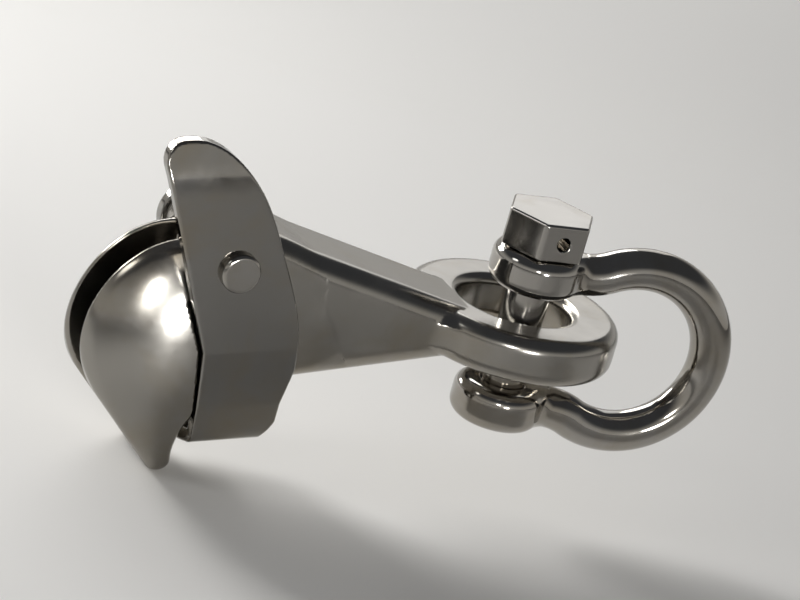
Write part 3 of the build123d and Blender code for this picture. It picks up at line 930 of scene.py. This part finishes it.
class CHAINHOOK_OT_pivot(bpy.types.Operator):
    """Makes the latch's pivot pin, collar and washers"""

    bl_idname = "chainhook.pivot"
    bl_label = "Latch pivot"

    def execute(self, context):
        finish = context.scene.chain_hook_finish
        # turned in the lathe and lightly polished: a satin shine with faint rings
        steel = polished_steel(
            "turned 316 steel bar", finish.bar_colour, finish.stain_colour, (0.12, 0.2),
            wave=9.0, wave_height=0.02, grain=(1.11, 3.33, 1.11), grain_height=0.004)
        acetal = acetal_sheet("white acetal sheet", finish.washer_colour)
        pin = pivot_surface(pivot_pin_path(), False)
        new_piece("pivot_pin", *pin, steel, "bar_steel", "hook", "latch_pivot_pin")
        wide, height = COLLAR
        ring = collar_path(PIVOT_PIN + PRESSED, wide, STRAP_OUTSIDE, STRAP_OUTSIDE + height, COLLAR_ROUNDING)
        collar = pivot_surface(ring, True)
        new_piece("pivot_collar", *collar, steel, "bar_steel", "hook", "latch_pivot_collar")
        for name, low in (("front", -CORE_HALF - WASHER), ("rear", CORE_HALF)):
            ring = collar_path(PIVOT_PIN + TURNING, WASHER_RADIUS, low, low + WASHER, WASHER_ROUNDING)
            new_piece(f"washer_{name}", *pivot_surface(ring, True), acetal, "washer_plastic", "hook",
                      f"latch_washer_{name}")
        return {"FINISHED"}


class CHAINHOOK_OT_shackle(bpy.types.Operator):
    """Makes the shackle's bow and its headed pin"""

    bl_idname = "chainhook.shackle"
    bl_label = "Bow shackle"

    def execute(self, context):
        finish = context.scene.chain_hook_finish
        # drawn, bent and polished bar: the brightest and clearest of the steels
        bar = polished_steel(
            "polished 316 steel bar", finish.bar_colour, finish.stain_colour, (0.07, 0.16),
            wave=8.0, wave_height=0.05, grain=(1.43, 1.43, 1.43), grain_height=0.002)
        # milled hexagon, polished over the cutter's marks: flat, even reflections with lines across
        head = polished_steel(
            "milled and polished 316 steel", finish.bar_colour, finish.stain_colour, (0.09, 0.2),
            wave=10.0, wave_height=0.03, grain=(1.0, 5.0, 1.0), grain_height=0.003)
        cell = finish.bar_cell / MM
        new_piece("shackle_bow_bar", *bow_surface(cell), bar, "bar_steel", "shackle", "shackle_bow")
        new_piece("shackle_headed_pin", *pin_surface(cell), head, "bar_steel", "pin", "shackle_pin")
        return {"FINISHED"}


class CHAINHOOK_OT_stage(bpy.types.Operator):
    """Makes the floor, the lamps and the camera"""

    bl_idname = "chainhook.stage"
    bl_label = "Stage"

    def execute(self, context):
        stage = context.scene.chain_hook_stage
        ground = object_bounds()[0][2]
        half = stage.floor_size / 2
        mesh = bpy.data.meshes.new("floor")
        corners = [(x * half, y * half, ground) for x, y in ((-1, -1), (1, -1), (1, 1), (-1, 1))]
        mesh.from_pydata(corners, [], [(0, 1, 2, 3)])
        floor = bpy.data.objects.new("floor", mesh)
        context.scene.collection.objects.link(floor)
        floor.data.materials.append(matt_floor("matt painted board", stage.floor_colour))
        floor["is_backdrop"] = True
        for name, lamp in LAMPS.items():
            soft_lamp(name, *lamp, stage.lamp_level)
        world = bpy.data.worlds.new("studio")
        world.use_nodes = True
        tree = world.node_tree
        way = add_node(tree, "ShaderNodeTexCoord", {}).outputs["Generated"]
        height = add_node(tree, "ShaderNodeSeparateXYZ", {"Vector": way}).outputs["Z"]
        wall, ceiling = WALL_TO_CEILING
        rise = add_node(tree, "ShaderNodeMapRange", {"Value": height, "From Min": wall, "From Max": ceiling},
                        interpolation_type="SMOOTHSTEP")
        room = add_node(tree, "ShaderNodeMix", {
            MIX_SHARE: rise.outputs["Result"], MIX_FIRST: stage.wall_colour,
            MIX_SECOND: stage.ceiling_colour}, data_type="RGBA")
        tree.links.new(room.outputs[MIX_RESULT], tree.nodes["Background"].inputs["Color"])
        context.scene.world = world
        photo_camera()
        context.scene.view_settings.view_transform = "Standard"
        return {"FINISHED"}


STEPS = ("casting", "latch", "pivot", "shackle", "stage")


class CHAINHOOK_PT_pieces(bpy.types.Panel):
    """The pieces of the chain hook and their settings"""

    bl_label = "Chain hook"
    bl_space_type = "VIEW_3D"
    bl_region_type = "UI"
    bl_category = "Chain hook"

    def draw(self, context):
        for step in STEPS:
            self.layout.operator(f"chainhook.{step}")
        for group in (context.scene.chain_hook_finish, context.scene.chain_hook_stage):
            column = self.layout.column(heading=group.bl_rna.description)
            for name in group.bl_rna.properties.keys():
                if name not in ("name", "rna_type"):
                    column.prop(group, name)


CLASSES = (
    ChainHookFinish, ChainHookStage, CHAINHOOK_OT_casting, CHAINHOOK_OT_latch, CHAINHOOK_OT_pivot,
    CHAINHOOK_OT_shackle, CHAINHOOK_OT_stage, CHAINHOOK_PT_pieces)


def register():
    """Adds the classes and their settings to Blender."""
    for kind in CLASSES:
        bpy.utils.register_class(kind)
    bpy.types.Scene.chain_hook_finish = bpy.props.PointerProperty(type=ChainHookFinish)
    bpy.types.Scene.chain_hook_stage = bpy.props.PointerProperty(type=ChainHookStage)


def unregister():
    """Takes the settings and the classes out again."""
    del bpy.types.Scene.chain_hook_stage
    del bpy.types.Scene.chain_hook_finish
    for kind in reversed(CLASSES):
        bpy.utils.unregister_class(kind)


def main():
    """Registers the add-on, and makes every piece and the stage."""
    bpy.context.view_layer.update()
    register()
    for step in STEPS:
        getattr(bpy.ops.chainhook, step)()


if __name__ == "__main__":
    main()
